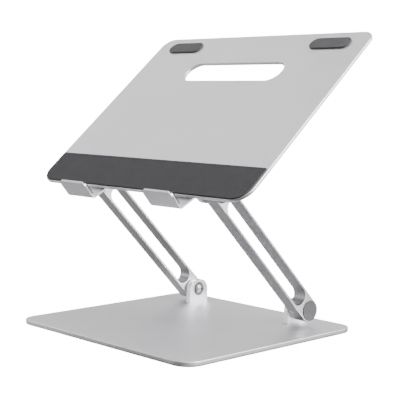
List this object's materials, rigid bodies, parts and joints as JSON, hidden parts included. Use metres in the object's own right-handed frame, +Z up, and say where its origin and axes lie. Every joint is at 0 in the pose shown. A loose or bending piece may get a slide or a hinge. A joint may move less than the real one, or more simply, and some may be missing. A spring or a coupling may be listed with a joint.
{
  "type": "laptop stand",
  "caption": "Aluminium laptop stand: flat base plate, slotted friction arms and a tilting padded tray with front hooks; lifts, tilts and folds flat.",
  "frame": {"origin": "on the floor, under the middle of the base plate", "axes": "+Z up; +Y from the user's side to the back; +X to the user's right, along the hinge axes"},
  "size_m": [0.26, 0.204, 0.2618],
  "materials": {
    "base_aluminium": "satin bead-blasted, clear anodised",
    "tray_aluminium": "satin bead-blasted, clear anodised",
    "arm_aluminium": "satin bead-blasted, clear anodised",
    "hook_aluminium": "satin bead-blasted, clear anodised",
    "bracket_aluminium": "satin bead-blasted, clear anodised",
    "pin_steel": "polished nickel-plated steel",
    "washer_steel": "ground steel",
    "spring_steel": "oiled spring steel",
    "nut_steel": "zinc-plated steel",
    "screw_steel": "zinc-plated steel",
    "bush_polymer": "matte filled polymer",
    "cap_grey": "fine matte grey plastic",
    "pad_rubber": "matte dark grey rubber",
    "foot_rubber": "matte black rubber"
  },
  "bodies": {
    "base": {"base_plate": "base_aluminium", "front_right_foot": "foot_rubber", "front_left_foot": "foot_rubber", "rear_right_foot": "foot_rubber", "rear_left_foot": "foot_rubber", "right_base_bracket": "bracket_aluminium", "left_base_bracket": "bracket_aluminium", "base_bracket_screws": "screw_steel", "right_lower_pivot_pin": "pin_steel", "right_lower_friction_washer": "washer_steel", "right_lower_disc_spring": "spring_steel", "right_lower_lock_nut": "nut_steel", "left_lower_pivot_pin": "pin_steel", "left_lower_friction_washer": "washer_steel", "left_lower_disc_spring": "spring_steel", "left_lower_lock_nut": "nut_steel"},
    "right_arm": {"right_arm": "arm_aluminium", "right_lower_bush": "bush_polymer", "right_lower_cap": "cap_grey", "right_upper_bush": "bush_polymer", "right_upper_cap": "cap_grey"},
    "left_arm": {"left_arm": "arm_aluminium", "left_lower_bush": "bush_polymer", "left_lower_cap": "cap_grey", "left_upper_bush": "bush_polymer", "left_upper_cap": "cap_grey"},
    "upper_pivots": {"right_upper_pivot_pin": "pin_steel", "right_upper_friction_washer": "washer_steel", "right_upper_disc_spring": "spring_steel", "right_upper_lock_nut": "nut_steel", "left_upper_pivot_pin": "pin_steel", "left_upper_friction_washer": "washer_steel", "left_upper_disc_spring": "spring_steel", "left_upper_lock_nut": "nut_steel"},
    "tray": {"tray_plate": "tray_aluminium", "front_pad": "pad_rubber", "right_rear_pad": "pad_rubber", "left_rear_pad": "pad_rubber", "right_hook": "hook_aluminium", "left_hook": "hook_aluminium", "right_hook_pad": "pad_rubber", "left_hook_pad": "pad_rubber", "right_tray_bracket": "bracket_aluminium", "left_tray_bracket": "bracket_aluminium", "tray_bracket_screws": "screw_steel"}
  },
  "joints": [
    {"name": "right_arm_lift", "type": "hinge", "parent": "base", "child": "right_arm", "pos_m": [0.07385, 0.0741, 0.0186], "axis": [-1, 0, 0], "range_deg": [-45, 35]},
    {"name": "left_arm_lift", "type": "hinge", "parent": "base", "child": "left_arm", "pos_m": [-0.07385, 0.0741, 0.0186], "axis": [-1, 0, 0], "range_deg": [-45, 35]},
    {"name": "upper_pivot_turn", "type": "hinge", "parent": "right_arm", "child": "upper_pivots", "pos_m": [0.07385, -0.03692, 0.12962], "axis": [-1, 0, 0], "range_deg": [-35, 45]},
    {"name": "tray_tilt", "type": "hinge", "parent": "upper_pivots", "child": "tray", "pos_m": [0.07385, -0.03692, 0.12962], "axis": [1, 0, 0], "range_deg": [-40.5, 8]}
  ],
  "couplings": [
    {"joint": "left_arm_lift", "follows": "right_arm_lift", "ratio": 1},
    {"joint": "upper_pivot_turn", "follows": "right_arm_lift", "ratio": -1}
  ]
}
